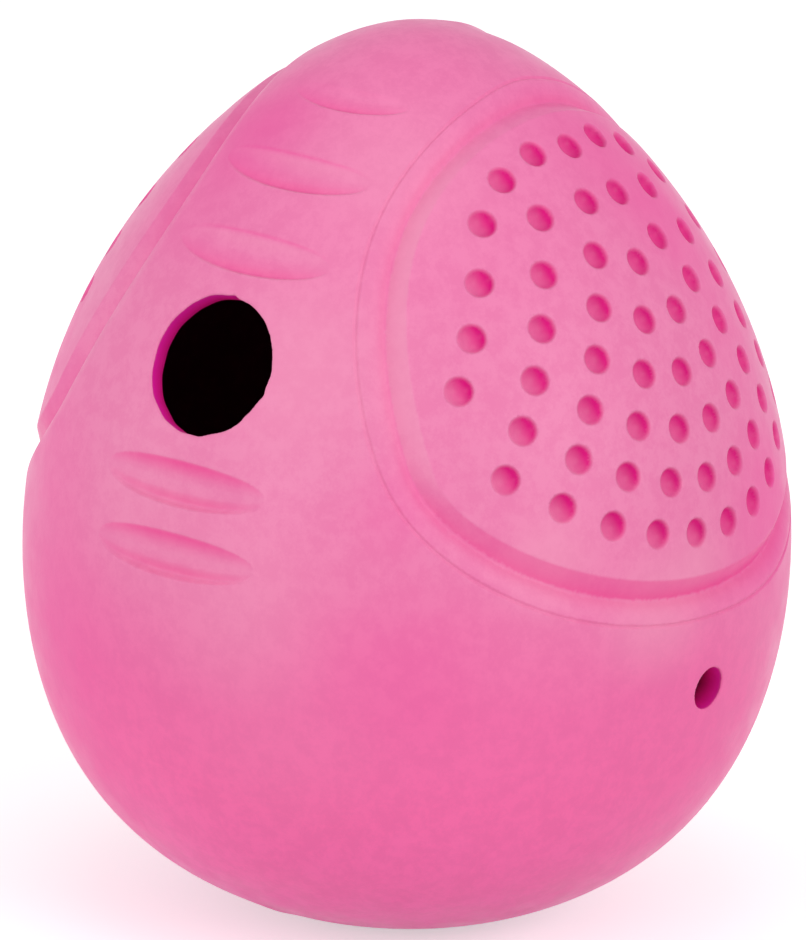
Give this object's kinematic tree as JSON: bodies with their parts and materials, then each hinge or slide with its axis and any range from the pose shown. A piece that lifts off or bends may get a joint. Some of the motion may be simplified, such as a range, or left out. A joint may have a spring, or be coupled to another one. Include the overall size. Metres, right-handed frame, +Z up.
{
  "type": "treat ball",
  "caption": "Hollow egg-shaped rubber treat toy with a weighted base, dimpled side panels, a round treat mouth and a small vent.",
  "frame": {"origin": "middle of the flat foot under the round end, where the bonded seam crosses it", "axes": "+Z up along the egg to its tip, -Y out of the side with the treat mouth, +X out of the side with the dimpled panel that has the vent below it; the seam is the plane x = 0"},
  "size_m": [0.08, 0.08, 0.095],
  "materials": {
    "right_shell": "soft matte pink",
    "left_shell": "soft matte pink",
    "base_weight": "plain turned steel",
    "weight_cover": "matte pink"
  },
  "bodies": {
    "root": {"right_shell": "right_shell", "left_shell": "left_shell", "base_weight": "base_weight", "weight_cover": "weight_cover"}
  },
  "joints": []
}
